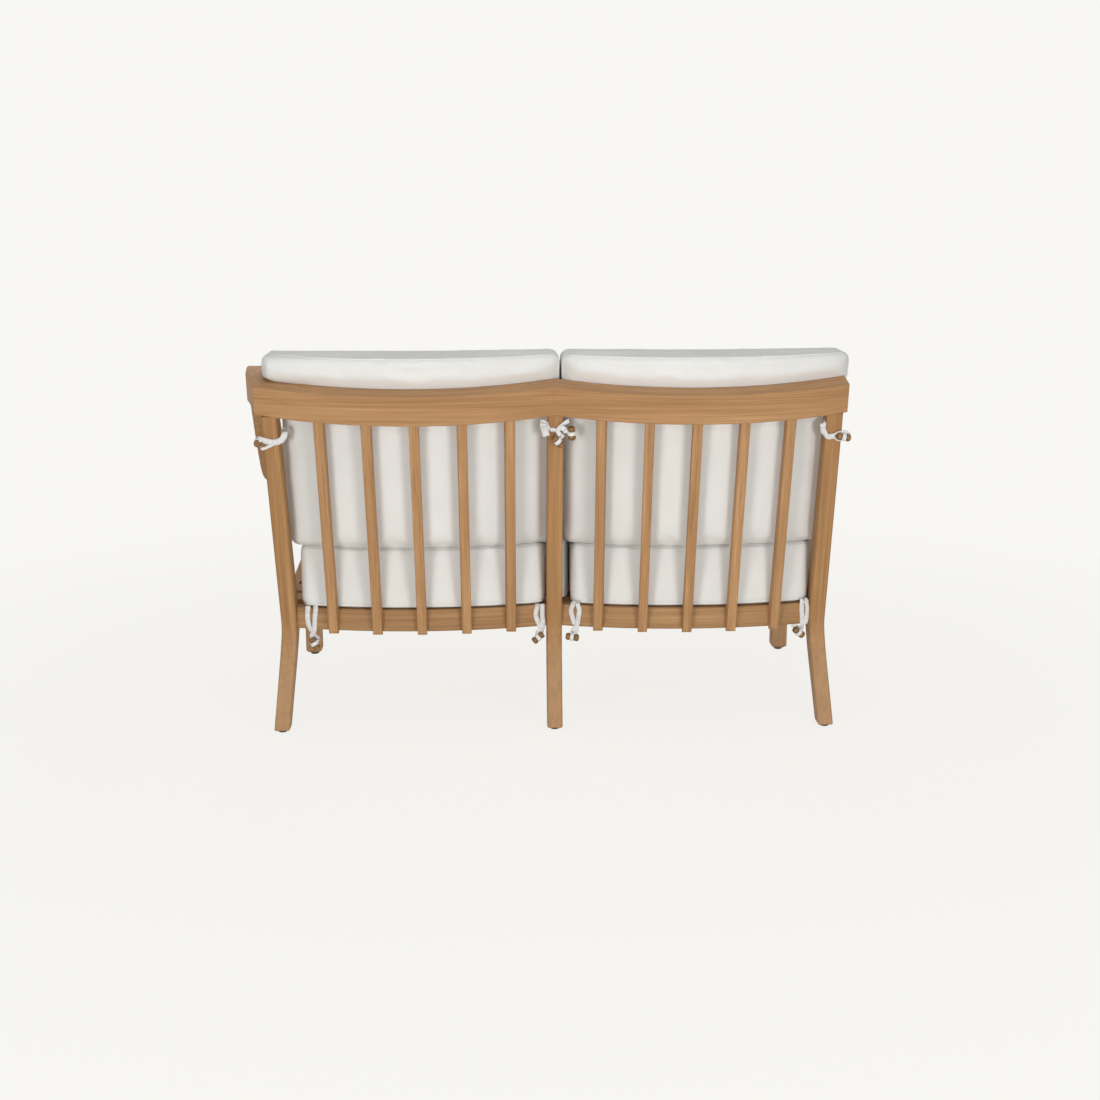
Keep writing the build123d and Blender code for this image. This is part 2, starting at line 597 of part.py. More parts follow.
def make_seat_cushion(label, side, near_x, far_x, notch_near, notch_far):
    """Near and far count from the centre post; a notch clears the post on that side."""
    arc_near = notch_near if notch_near else near_x
    arc_far = notch_far if notch_far else far_x
    middle = (arc_near + arc_far) / 2
    with BuildPart() as cushion:
        with BuildSketch(Plane.XY.offset(SEAT_CUSHION_Z)):
            with BuildLine():
                back = ThreePointArc(
                    (side * arc_near, seat_face(arc_near, SEAT_CUSHION_GAP)),
                    (side * middle, seat_face(middle, SEAT_CUSHION_GAP)),
                    (side * arc_far, seat_face(arc_far, SEAT_CUSHION_GAP)),
                )
                if notch_far:
                    far = Polyline(back @ 1, (side * arc_far, CUSHION_NOTCH_Y),
                                   (side * far_x, CUSHION_NOTCH_Y), (side * far_x, SEAT_CUSHION_FRONT_Y))
                else:
                    far = Line(back @ 1, (side * far_x, SEAT_CUSHION_FRONT_Y))
                if notch_near:
                    Polyline(far @ 1, (side * near_x, SEAT_CUSHION_FRONT_Y), (side * near_x, CUSHION_NOTCH_Y),
                             (side * arc_near, CUSHION_NOTCH_Y), back @ 0)
                else:
                    Polyline(far @ 1, (side * near_x, SEAT_CUSHION_FRONT_Y), back @ 0)
            make_face()
        extrude(amount=SEAT_CUSHION_HEIGHT)
        notch = Vector(side * (notch_near or notch_far), CUSHION_NOTCH_Y, cushion.part.center().Z)
        upright = cushion.edges().filter_by(Axis.Z)
        corners = [edge for edge in upright if abs(edge.center() - notch) > CUSHION_POST_GAP]
        chamfer(corners, SEAT_CUSHION_CORNER)
        chamfer(cushion.faces().filter_by(Axis.Z).edges(), SEAT_CUSHION_EDGE)
    finish(cushion, label)


NOTCH_CENTRE_X = POST_WIDTH / 2 + CUSHION_POST_GAP
NOTCH_END_X = END_POST_KNEE_X - POST_WIDTH / 2 - CUSHION_POST_GAP
PAIR_HALF_GAP = CUSHION_PAIR_GAP / 2
make_seat_cushion("arm_side_seat_cushion", 1, PAIR_HALF_GAP - SEAT_CUSHION_SHIFT,
                  PAIR_HALF_GAP - SEAT_CUSHION_SHIFT + SEAT_CUSHION_WIDTH, NOTCH_CENTRE_X, 0)
make_seat_cushion("open_side_seat_cushion", -1, PAIR_HALF_GAP + SEAT_CUSHION_SHIFT,
                  PAIR_HALF_GAP + SEAT_CUSHION_SHIFT + SEAT_CUSHION_WIDTH, 0, NOTCH_END_X)

# Back cushions: they lean on the scooped front of the top rail and stand on the seat
BACK_INSET = RAIL_DEPTH + BACK_CUSHION_GAP
BACK_CUSHION_Z = SEAT_CUSHION_TOP + SOFT_GAP
BACK_FRONT = rail_face(0, BACK_INSET) - BACK_CUSHION_THICKNESS


def make_back_cushion(label, side, near_x, far_x):
    middle = (near_x + far_x) / 2
    rear_near = (side * near_x, rail_face(near_x, BACK_INSET) if near_x > 0 else rail_face(0, BACK_INSET))
    with BuildPart() as cushion:
        with BuildSketch(leaning()):
            with BuildLine():
                if near_x < 0:
                    Line(rear_near, (0, rear_near[1]))
                start = (side * max(near_x, 0), rear_near[1])
                rear = ThreePointArc(start, (side * middle, rail_face(middle, BACK_INSET)),
                                     (side * far_x, rail_face(far_x, BACK_INSET)))
                front_far = (side * far_x, BACK_FRONT)
                front_near = (side * near_x, BACK_FRONT)
                Line(rear @ 1, front_far)
                ThreePointArc(front_far, (side * middle, BACK_FRONT + BACK_CUSHION_BOW), front_near)
                Line(front_near, rear_near)
            make_face()
        extrude(amount=RAIL_Z, both=True)
        split(bisect_by=Plane.XY.offset(BACK_CUSHION_Z), keep=Keep.TOP)
        split(bisect_by=Plane.XY.offset(BACK_CUSHION_TOP), keep=Keep.BOTTOM)
        chamfer(cushion.faces().filter_by(Axis.Z).edges(), BACK_CUSHION_EDGE)
        upright = [edge for edge in cushion.edges() if abs(edge.tangent_at(0).dot(UP_BACK)) > cos(radians(1))]
        corners = [edge for edge in upright if abs(edge.center().X) > BACK_CUSHION_SHIFT / 2]
        chamfer(corners, BACK_CUSHION_CORNER)
    finish(cushion, label)


make_back_cushion("arm_side_back_cushion", 1, PAIR_HALF_GAP - BACK_CUSHION_SHIFT, BACK_CUSHION_ARM_X)
make_back_cushion("open_side_back_cushion", -1, PAIR_HALF_GAP + BACK_CUSHION_SHIFT, BACK_CUSHION_OPEN_X)


# Ties: each strap starts at a cushion, and its toggle lies on the strap's tail
def make_strap(label, strips):
    """Flat strips joined to one strap, each a plane and the corners of its outline."""
    with BuildPart() as strap:
        for plane, corners in strips:
            with BuildSketch(plane):
                with BuildLine():
                    Polyline(*corners, close=True)
                make_face()
            extrude(amount=STRAP_THICKNESS)
    finish(strap, f"{label}_strap")


def make_toggle(label, centre, along, normal):
    """A barrel with a waist, which swings about a line square to its strap."""
    centre, along, normal = Vector(*centre), Vector(*along), Vector(*normal)
    half = TOGGLE_LENGTH / 2
    side = TOGGLE_DIAMETER * sin(pi / TOGGLE_SIDES)
    with BuildPart() as toggle:
        with BuildSketch(Plane(origin=centre, x_dir=normal, z_dir=along)):
            RegularPolygon(TOGGLE_WAIST_DIAMETER / 2, TOGGLE_SIDES)
        extrude(amount=half, both=True)
        for end in (1, -1):
            with BuildSketch(Plane(origin=centre + along * (end * half), x_dir=normal, z_dir=along * -end)):
                RegularPolygon(TOGGLE_DIAMETER / 2, TOGGLE_SIDES)
            extrude(amount=half - TOGGLE_WAIST_WIDTH / 2)
        chamfer([edge for edge in toggle.edges() if abs(edge.length - side) < TOGGLE_GAP], TOGGLE_CHAMFER)
    finish(toggle, f"{label}_toggle")
    hinges[f"{label}_toggle"] = (centre, normal)


def turned(flat, up, angle):
    return flat * cos(radians(angle)) + up * sin(radians(angle))


def strip_outline(start, end, start_height, end_height):
    half = STRAP_WIDTH / 2
    return [
        (start, start_height - half),
        (end, end_height - half),
        (end, end_height + half),
        (start, start_height + half),
    ]


def post_x(knee_x, top_x, drop):
    """Middle of a post at a distance below the top rail."""
    share = (lean_point(0, 0, drop)[2] - SEAT_RAIL_Z) / (POST_LINE_TOP_Z - SEAT_RAIL_Z)
    return knee_x + (top_x - knee_x) * share


def side_plane(x, side):
    """Plane beside a post, facing out; its sketches run backwards and up or down."""
    return Plane(origin=lean_point(x, 0), x_dir=OUT_BACK, z_dir=(side, 0, 0))


hinges = {}
STRAP_BACK = STRAP_GAP + STRAP_THICKNESS - POST_SETBACK
BACK_STRIP_PLANE = Plane(origin=lean_point(0, STRAP_GAP - POST_SETBACK), x_dir=(1, 0, 0), z_dir=OUT_BACK)
STRAP_SIDE_REACH = POST_WIDTH / 2 + STRAP_SIDE_GAP
TIE_POSTS = {
    "centre_tie_1": (0.0, 0.0),
    "centre_tie_2": (0.0, 0.0),
    "open_end_tie": (-END_POST_KNEE_X, -END_POST_KNEE_X - OPEN_POST_FLARE),
}


def near_strip(x, side, drop):
    """Part of a strap from the cushion, along the side of a post."""
    face_x = x + side * STRAP_SIDE_REACH
    outer_x = face_x + side * STRAP_THICKNESS
    start = max(rail_face(face_x, BACK_INSET), rail_face(outer_x, BACK_INSET)) + SOFT_GAP
    return side_plane(face_x, side), strip_outline(start, STRAP_BACK, -side * drop, -side * drop)


for label, tie in UPPER_TIES.items():
    side, near_drop, tail_drop, tail_reach, toggle_reach, toggle_drop, turn = tie
    x = post_x(*TIE_POSTS[label], toggle_drop)
    edge_x = x + side * (STRAP_SIDE_REACH + STRAP_THICKNESS)
    across = strip_outline(edge_x, x - side * tail_reach, near_drop, tail_drop)
    make_strap(label, [near_strip(x, side, near_drop), (BACK_STRIP_PLANE, across)])
    toggle_back = STRAP_BACK + TOGGLE_GAP + TOGGLE_DIAMETER / 2
    centre = lean_point(x - side * toggle_reach, toggle_back, toggle_drop)
    make_toggle(label, centre, turned(Vector(1, 0, 0), UP_BACK, -turn), OUT_BACK)

# The strap at the arm goes on round the outer corner of its post
x = post_x(END_POST_KNEE_X, END_POST_KNEE_X + ARM_POST_FLARE, ARM_TIE_CORNER_DROP)
outer_x = x + STRAP_SIDE_REACH
across = strip_outline(x - STRAP_SIDE_REACH - STRAP_THICKNESS, outer_x + STRAP_THICKNESS,
                       ARM_TIE_DROP, ARM_TIE_CORNER_DROP)
wrap = strip_outline(STRAP_BACK - STRAP_WRAP, STRAP_BACK, -ARM_TIE_CORNER_DROP, -ARM_TIE_CORNER_DROP)
make_strap("arm_end_tie", [
    near_strip(x, -1, ARM_TIE_DROP),
    (BACK_STRIP_PLANE, across),
    (side_plane(outer_x, 1), wrap),
])
toggle_x = outer_x + STRAP_THICKNESS + TOGGLE_GAP + TOGGLE_DIAMETER / 2
centre = lean_point(toggle_x, STRAP_BACK - TOGGLE_LENGTH / 2, ARM_TIE_CORNER_DROP)
make_toggle("arm_end_tie", centre, OUT_BACK, Vector(1, 0, 0))

# Straps of the seat cushions hang over the rear seat rails
for label, (side, strap_place, toggle_place, drop, turn) in LOWER_TIES.items():
    end_x = END_POST_KNEE_X if strap_place < 0 else 0
    strap_x = end_x + strap_place
    toggle_x = end_x + toggle_place
    rail_radius = arc_radius(SEAT_BAY / 2, SEAT_SCOOP)
    slope = (strap_x - SEAT_BAY / 2) / (seat_face(strap_x) - SEAT_RAIL_Y + rail_radius - SEAT_SCOOP)
    out = Vector(side * slope, 1, 0).normalized()
    flat = out.cross(Vector(0, 0, 1))
    rail_point = Vector(side * strap_x, seat_face(strap_x), 0)
    toggle_z = SEAT_RAIL_Z - drop
    low = toggle_z - TOGGLE_WAIST_DIAMETER / 2
    top = SEAT_TOP + STRAP_GAP
    with BuildPart() as strap:
        with BuildSketch(Plane(origin=rail_point, x_dir=out, z_dir=flat)):
            with BuildLine():
                Polyline(
                    (STRAP_GAP, low),
                    (STRAP_GAP + STRAP_THICKNESS, low),
                    (STRAP_GAP + STRAP_THICKNESS, top + STRAP_THICKNESS),
                    (-SEAT_CUSHION_GAP, top + STRAP_THICKNESS),
                    (-SEAT_CUSHION_GAP, top),
                    (STRAP_GAP, top),
                    close=True,
                )
            make_face()
        extrude(amount=STRAP_WIDTH / 2, both=True)
    finish(strap, f"{label}_strap")
    reach = STRAP_GAP + STRAP_THICKNESS + TOGGLE_GAP + TOGGLE_DIAMETER / 2
    centre = rail_point + out * reach + flat * (side * (toggle_x - strap_x)) + Vector(0, 0, toggle_z)
    make_toggle(label, centre, turned(flat, Vector(0, 0, 1), turn), out)

# Move the pieces together and write one file for each
low_x = min(solid.bounding_box().min.X for solid in pieces.values())
high_x = max(solid.bounding_box().max.X for solid in pieces.values())
low_y = min(solid.bounding_box().min.Y for solid in pieces.values())
high_y = max(solid.bounding_box().max.Y for solid in pieces.values())
CENTRE = Vector((low_x + high_x) / 2, (low_y + high_y) / 2, 0)
print("centre", CENTRE, "size", high_x - low_x, high_y - low_y)
for name, solid in pieces.items():
    box = solid.bounding_box()
    print(name, solid.is_valid, round(solid.volume), [round(v) for v in (*box.min, *box.max)])
    placed = solid.moved(Location(-CENTRE))
    placed.label = name
    export_step(placed, f"parts/{name}.step")
for name, (centre, axis) in hinges.items():
    print("hinge", name, [round(v / 1000, 5) for v in centre - CENTRE], [round(v, 5) for v in axis])
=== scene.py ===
"""Patio loveseat seen from behind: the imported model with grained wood, stuffed cushions, ties and toggles."""
import json
import math

import bmesh
import bpy
import numpy as np
from mathutils import Matrix, Vector
from mathutils.bvhtree import BVHTree


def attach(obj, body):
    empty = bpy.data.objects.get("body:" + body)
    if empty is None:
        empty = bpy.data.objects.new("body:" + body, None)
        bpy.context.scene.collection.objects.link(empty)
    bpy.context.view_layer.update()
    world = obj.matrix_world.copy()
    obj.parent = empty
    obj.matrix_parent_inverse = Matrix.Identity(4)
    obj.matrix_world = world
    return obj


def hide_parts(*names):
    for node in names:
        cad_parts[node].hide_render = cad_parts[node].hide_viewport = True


MM = 0.001
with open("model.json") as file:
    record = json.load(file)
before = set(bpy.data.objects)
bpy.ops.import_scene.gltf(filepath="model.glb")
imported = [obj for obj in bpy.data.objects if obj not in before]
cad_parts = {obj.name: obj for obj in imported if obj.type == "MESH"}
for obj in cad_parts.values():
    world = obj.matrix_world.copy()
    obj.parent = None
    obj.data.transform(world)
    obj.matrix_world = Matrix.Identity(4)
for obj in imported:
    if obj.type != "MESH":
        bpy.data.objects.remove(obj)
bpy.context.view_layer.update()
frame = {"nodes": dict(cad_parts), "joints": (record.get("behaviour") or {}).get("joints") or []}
nodes = frame["nodes"]
TIES = [name[: -len("_toggle")] for name in nodes if name.endswith("_toggle")]

# The back leans by this much, and this is where its rear plane meets the underside of the top rail
RECLINE = math.radians(11)
UP = Vector((0, 0, 1))
RAIL_POINT = Vector((-35.534, 362.751, 798.0)) * MM
BACK_OUT = Vector((0, math.cos(RECLINE), -math.sin(RECLINE)))
BACK_DOWN = Vector((0, -math.sin(RECLINE), -math.cos(RECLINE)))

# Camera: behind the bench, a little to one side and looking down
EYE = Vector((0.08597, 4.11987, 1.34675))
YAW, PITCH, ROLL = (math.radians(angle) for angle in (-1.647, 13.037, -0.125))
SENSOR_WIDTH = 36
LENS = 52.97


def make_camera():
    ahead = Vector((math.sin(YAW) * math.cos(PITCH), -math.cos(YAW) * math.cos(PITCH), -math.sin(PITCH)))
    right = ahead.cross(UP).normalized()
    up = right.cross(ahead)
    side = right * math.cos(ROLL) + up * math.sin(ROLL)
    top = up * math.cos(ROLL) - right * math.sin(ROLL)
    camera = bpy.data.objects.new("camera", bpy.data.cameras.new("camera"))
    bpy.context.scene.collection.objects.link(camera)
    turn = Matrix((side, top, -ahead)).transposed().to_4x4()
    camera.matrix_world = Matrix.Translation(EYE) @ turn
    camera.data.sensor_width = SENSOR_WIDTH
    camera.data.lens = LENS
    camera.data.clip_end = 200
    bpy.context.scene.camera = camera


# Finishes
class Tone:
    """A number or colour on its way between the nodes of one finish."""

    def __init__(self, finish, socket):
        self.finish = finish
        self.socket = socket

    def worked(self, operation, first, second):
        return self.finish.node("ShaderNodeMath", {"operation": operation}, {0: first, 1: second})

    def __add__(self, other):
        return self.worked("ADD", self, other)

    def __radd__(self, other):
        return self.worked("ADD", other, self)

    def __sub__(self, other):
        return self.worked("SUBTRACT", self, other)

    def __rsub__(self, other):
        return self.worked("SUBTRACT", other, self)

    def __mul__(self, other):
        return self.worked("MULTIPLY", self, other)

    def __rmul__(self, other):
        return self.worked("MULTIPLY", other, self)


class Finish:
    """The nodes of one material or of the world."""

    def __init__(self, owner):
        self.owner = owner
        self.owner.use_nodes = True
        self.tree = self.owner.node_tree
        self.tree.nodes.clear()

    def node(self, kind, settings=None, inputs=None, output=0):
        made = self.tree.nodes.new(kind)
        for setting, value in (settings or {}).items():
            if setting == "stops":
                self.set_stops(made.color_ramp, value)
            else:
                setattr(made, setting, value)
        for key, value in (inputs or {}).items():
            if isinstance(value, Tone):
                self.tree.links.new(value.socket, made.inputs[key])
            else:
                made.inputs[key].default_value = value
        return Tone(self, made.outputs[output])

    def set_stops(self, ramp, stops):
        while len(ramp.elements) < len(stops):
            ramp.elements.new(0.5)
        for element, (place, shade) in zip(ramp.elements, stops):
            element.position = place
            element.color = (*shade, 1)

    def spot(self):
        return self.node("ShaderNodeTexCoord", output="Object")

    def mix(self, share, first, second):
        return self.node("ShaderNodeMix", {"data_type": "RGBA"}, {0: share, 6: first, 7: second}, 2)

    def noise(self, place, size, detail=3.0, rough=0.55):
        return self.node("ShaderNodeTexNoise", inputs={"Vector": place, "Scale": 1 / size, "Detail": detail,
                                                       "Roughness": rough})

    def span(self, value, low, high):
        return self.node("ShaderNodeMapRange", {"clamp": True}, {0: value, 1: low, 2: high})

    def done(self, surface, kind="ShaderNodeOutputMaterial"):
        made = self.tree.nodes.new(kind)
        self.tree.links.new(surface.socket, made.inputs["Surface"])
        return self.owner


def colour(red, green, blue):
    return (red, green, blue, 1)


def straightened(finish, spot, bow, half):
    """The place with the curve of a scooped rail taken out, so that the grain follows the rail."""
    across = [finish.node("ShaderNodeSeparateXYZ", inputs={0: spot}, output=axis) for axis in range(3)]
    from_post = finish.node("ShaderNodeMath", {"operation": "ABSOLUTE"}, {0: across[0] - RAIL_POINT.x})
    from_middle = from_post - half
    flat = across[1] + from_middle * from_middle * (bow / half ** 2)
    return finish.node("ShaderNodeCombineXYZ", inputs={0: across[0], 1: flat, 2: across[2]})


WOOD_SHADES = (
    (0.36, (0.316, 0.156, 0.060)),
    (0.45, (0.386, 0.201, 0.083)),
    (0.51, (0.436, 0.234, 0.100)),
    (0.57, (0.490, 0.272, 0.122)),
    (0.65, (0.560, 0.332, 0.163)),
)
PORE = (0.235, 0.112, 0.046)
PALE_FOOT = (0.500, 0.320, 0.190)
PALE_FROM, PALE_TO = 0.30, 0.12

# Width and length of each sort of streak in metres, its detail and where its pattern starts
STREAKS = {
    "wide": (0.030, 0.70, 2.0, (0.3, 0.1, 0.7)),
    "bands": (0.0085, 0.42, 3.0, (0.0, 0.2, 0.1)),
    "fine": (0.0021, 0.24, 3.0, (0.5, 0.4, 0.0)),
    "pores": (0.0010, 0.035, 2.0, (0.2, 0.9, 0.3)),
}


def wood_finish(name, along, tilt, pale_feet=False, bow=0.0, half=0.332, depth=(1, 1, 1)):
    """Oiled hardwood whose grain runs along one axis, tilted about the bench's length.

    bow and half straighten the grain of a scooped rail, and depth darkens each channel as painted shade.
    """
    finish = Finish(bpy.data.materials.new(name))
    spot = finish.spot()
    grain_spot = straightened(finish, spot, bow, half) if bow else spot

    def streaks(narrow, length, detail, shift):
        scale = [narrow] * 3
        scale[along] = length
        place = finish.node("ShaderNodeMapping", {"vector_type": "TEXTURE"}, {
            "Vector": grain_spot, "Location": shift, "Rotation": (tilt, 0, 0), "Scale": scale})
        return finish.noise(place, 1.0, detail)

    wide, bands, fine, pores = (streaks(*sizes) for sizes in STREAKS.values())
    tone = wide * 0.28 + bands * 0.34 + fine * 0.38
    stops = [(place, [channel * share for channel, share in zip(shade, depth)])
             for place, shade in WOOD_SHADES]
    base = finish.node("ShaderNodeValToRGB", {"stops": stops}, {0: tone})
    pore = finish.span(pores, 0.60, 0.72)
    base = finish.mix(pore * 0.26, base, colour(*PORE))
    if pale_feet:
        height = finish.node("ShaderNodeSeparateXYZ", inputs={0: spot}, output=2)
        base = finish.mix(finish.span(height, PALE_FROM, PALE_TO) * 0.35, base, colour(*PALE_FOOT))
    relief = bands * 0.3 + fine * 0.5 - pore * 0.5
    bump = finish.node("ShaderNodeBump", inputs={"Strength": 0.35, "Distance": 0.0006, "Height": relief})
    shader = finish.node("ShaderNodeBsdfPrincipled", inputs={
        "Base Color": base, "Roughness": 0.50 + bands * 0.22, "Normal": bump, "Specular IOR Level": 0.35})
    return finish.done(shader)


def fabric_finish(name, base, weave_size):
    """Woven outdoor cloth, off-white, with a fine thread pattern."""
    finish = Finish(bpy.data.materials.new(name))
    spot = finish.spot()
    patch = finish.noise(spot, 0.11, 2.0)
    heather = finish.noise(spot, 0.0016, 2.0)
    shade = finish.span(patch * 0.5 + heather * 0.5, 0.30, 0.70)
    tint = finish.mix(shade, colour(*(v * 0.955 for v in base)), colour(*(min(1, v * 1.035) for v in base)))
    threads = [finish.node("ShaderNodeTexWave", {"bands_direction": axis},
                           {"Vector": spot, "Scale": 0.314 / weave_size, "Distortion": 0.6, "Detail": 1.0,
                            "Detail Scale": 0.4}, 1) for axis in ("X", "Y", "Z")]
    ripple = finish.noise(spot, 0.035, 3.0)
    height = (threads[0] + threads[1] + threads[2]) * 0.10 + ripple * 0.7 + heather * 0.12
    bump = finish.node("ShaderNodeBump", inputs={"Strength": 0.30, "Distance": 0.0016, "Height": height})
    shader = finish.node("ShaderNodeBsdfPrincipled", inputs={
        "Base Color": tint, "Roughness": 0.88 + heather * 0.08, "Normal": bump, "Specular IOR Level": 0.25,
        "Sheen Weight": 0.10, "Sheen Roughness": 0.5})
    return finish.done(shader)


def toggle_finish():
    """Dark turned wood with a waxed shine."""
    finish = Finish(bpy.data.materials.new("dark_turned_wood"))
    spot = finish.spot()
    grain = finish.noise(spot, 0.004, 4.0)
    dark, light = colour(0.130, 0.066, 0.018), colour(0.285, 0.155, 0.048)
    base = finish.mix(finish.span(grain, 0.35, 0.65), dark, light)
    bump = finish.node("ShaderNodeBump", inputs={"Strength": 0.3, "Distance": 0.0004, "Height": grain})
    shader = finish.node("ShaderNodeBsdfPrincipled", inputs={
        "Base Color": base, "Roughness": 0.36 + grain * 0.2, "Normal": bump})
    return finish.done(shader)


def glide_finish():
    """Black nylon, scuffed a little where it meets the ground."""
    finish = Finish(bpy.data.materials.new("black_nylon"))
    spot = finish.spot()
    height = finish.node("ShaderNodeSeparateXYZ", inputs={0: spot}, output=2)
    scuff = finish.span(finish.noise(spot, 0.003, 4.0), 0.5, 0.75) * finish.span(height, 0.012, 0.0)
    base = finish.mix(scuff, colour(0.012, 0.012, 0.013), colour(0.085, 0.082, 0.078))
    bump = finish.node("ShaderNodeBump", inputs={"Strength": 0.2, "Distance": 0.0003, "Height": scuff})
    shader = finish.node("ShaderNodeBsdfPrincipled", inputs={
        "Base Color": base, "Roughness": 0.38 + scuff * 0.4, "Normal": bump})
    return finish.done(shader)


CUSHION_CLOTH = (0.776, 0.778, 0.756)
STRAP_CLOTH = (0.765, 0.757, 0.740)
CUSHION_WEAVE = 0.0012
STRAP_WEAVE = 0.0015
TOP_RAIL_SCOOP = 0.070
SEAT_RAIL_SCOOP = 0.048
# Painted shade: the uprights' wood and the rear seat rail's wood are darkened by these shares per channel, the
# rear seat rail for the shade that the cushions cast on it
SHADED_UPRIGHT = (0.87, 0.84, 0.74)
SHADED_SEAT_RAIL = (0.84, 0.86, 0.83)
ARM_FALL = math.radians(22)
upright_wood = wood_finish("wood_upright", 2, -RECLINE, pale_feet=True, depth=SHADED_UPRIGHT)
slat_wood = wood_finish("wood_slats", 2, -RECLINE)
long_wood = wood_finish("wood_lengthwise", 0, 0.0)
top_rail_wood = wood_finish("wood_top_rail", 0, 0.0, bow=TOP_RAIL_SCOOP)
seat_rail_wood = wood_finish("wood_rear_seat_rail", 0, 0.0, bow=SEAT_RAIL_SCOOP, half=0.327,
                             depth=SHADED_SEAT_RAIL)
deep_wood = wood_finish("wood_front_to_back", 1, 0.0)
arm_wood = wood_finish("wood_arm", 1, ARM_FALL, pale_feet=True)
cushion_cloth = fabric_finish("cushion_cloth", CUSHION_CLOTH, CUSHION_WEAVE)
strap_cloth = fabric_finish("strap_webbing", STRAP_CLOTH, STRAP_WEAVE)
dark_wood = toggle_finish()
nylon = glide_finish()


def dress(node, material):
    piece = nodes[node]
    if not piece.material_slots:
        piece.data.materials.append(material)
    for slot in piece.material_slots:
        slot.material = material


def dress_model():
    for name in nodes:
        if name.endswith("_toggle"):
            dress(name, dark_wood)
        elif name.endswith("_glide"):
            dress(name, nylon)
        elif "slat" in name:
            dress(name, slat_wood)
        elif name.endswith("post") or name.endswith("front_leg"):
            dress(name, upright_wood)
        elif name == "arm":
            dress(name, arm_wood)
        elif name in ("arm_side_seat_rail", "centre_seat_rail", "open_side_seat_rail"):
            dress(name, deep_wood)
        elif name.endswith("top_rail"):
            dress(name, top_rail_wood)
        elif name.endswith("rear_seat_rail"):
            dress(name, seat_rail_wood)
        elif name.endswith("rail") or name.startswith("deck_board"):
            dress(name, long_wood)


# Shaping tools. Points nearer than this are one and the same
SAME_POINT = 0.00001


def new_piece(name, mesh, material, body):
    piece = bpy.data.objects.new(name, mesh)
    bpy.context.scene.collection.objects.link(piece)
    mesh.materials.clear()
    mesh.materials.append(material)
    for polygon in mesh.polygons:
        polygon.use_smooth = True
    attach(piece, body)
    return piece


def mesh_from(form, name):
    mesh = bpy.data.meshes.new(name)
    form.to_mesh(mesh)
    form.free()
    return mesh


def finished(piece):
    """The mesh of a piece with its modifiers worked in."""
    graph = bpy.context.evaluated_depsgraph_get()
    return bpy.data.meshes.new_from_object(piece.evaluated_get(graph))


def merged_copy(node):
    form = bmesh.new()
    form.from_mesh(nodes[node].data)
    bmesh.ops.remove_doubles(form, verts=form.verts, dist=2 * SAME_POINT)
    return form


def places(mesh):
    flat = np.empty(len(mesh.vertices) * 3)
    mesh.vertices.foreach_get("co", flat)
    return flat.reshape(-1, 3)


def set_places(mesh, spots):
    mesh.vertices.foreach_set("co", np.asarray(spots, float).ravel())
    mesh.update()


def worked_in(piece, add_modifier):
    """Adds one modifier, keeps its result as the mesh and leaves no modifier."""
    add_modifier(piece)
    mesh = finished(piece)
    piece.modifiers.clear()
    piece.data = mesh
    return mesh


def remesh(piece, size):
    def add(target):
        voxels = target.modifiers.new("voxels", "REMESH")
        voxels.mode = "VOXEL"
        voxels.voxel_size = size
    return worked_in(piece, add)


def subdivide(piece):
    def add(target):
        finer = target.modifiers.new("finer", "SUBSURF")
        finer.levels = 1
        finer.render_levels = 1
    return worked_in(piece, add)


def let_out(piece, amount):
    def add(target):
        outward = target.modifiers.new("outward", "DISPLACE")
        outward.mid_level = 0
        outward.strength = amount
    return worked_in(piece, add)


def smooth(mesh, rounds):
    form = bmesh.new()
    form.from_mesh(mesh)
    for _ in range(rounds):
        bmesh.ops.smooth_vert(form, verts=form.verts, factor=0.5,
                              use_axis_x=True, use_axis_y=True, use_axis_z=True)
    form.to_mesh(mesh)
    form.free()


SWELL_PRESSURE = 4.0
SWELL_FRAMES = 20


def swell(piece, cap):
    """Blows the cover up from inside as cloth, no further than the cap."""
    scene = bpy.context.scene
    rest = places(piece.data)
    cloth = piece.modifiers.new("cloth", "CLOTH")
    cloth.settings.quality = 5
    cloth.settings.use_pressure = True
    cloth.settings.uniform_pressure_force = SWELL_PRESSURE
    cloth.settings.effector_weights.gravity = 0
    cloth.collision_settings.use_collision = False
    cloth.point_cache.frame_start = 1
    cloth.point_cache.frame_end = SWELL_FRAMES
    for step in range(1, SWELL_FRAMES + 1):
        scene.frame_set(step)
    mesh = finished(piece)
    piece.modifiers.clear()
    scene.frame_set(1)
    move = places(mesh) - rest
    length = np.linalg.norm(move, axis=1, keepdims=True)
    kept = cap * np.tanh(length / cap)
    piece.data = mesh
    set_places(mesh, rest + move * (kept / np.maximum(length, 1e-9)))
    return mesh


def tree_of(names):
    form = bmesh.new()
    for name in names:
        form.from_mesh(nodes[name].data)
    tree = BVHTree.FromBMesh(form)
    form.free()
    return tree


# How far a cover may sink inside its solid, the share of the gap to a neighbour that a bulge may fill
# and the least that a bulge is held to
SLACK = 0.0015
GAP_SHARE = 0.40
LEAST_BULGE = 0.0001


def settle(mesh, solid, neighbours, proud, rear_proud):
    """The cover fills its solid, and bulges out of it gently, less the nearer a neighbour is."""
    for vertex in mesh.vertices:
        near, normal, _, distance = solid.find_nearest(vertex.co)
        if distance < SAME_POINT:
            continue
        room = SLACK
        if (vertex.co - near).dot(normal) > 0:
            most = proud + (rear_proud - proud) * max(0.0, normal.dot(BACK_OUT)) ** 2
            room = max(min(most, neighbours.find_nearest(near)[3] * GAP_SHARE), LEAST_BULGE)
        vertex.co = near + (vertex.co - near) * (room * math.tanh(distance / room) / distance)
    mesh.update()


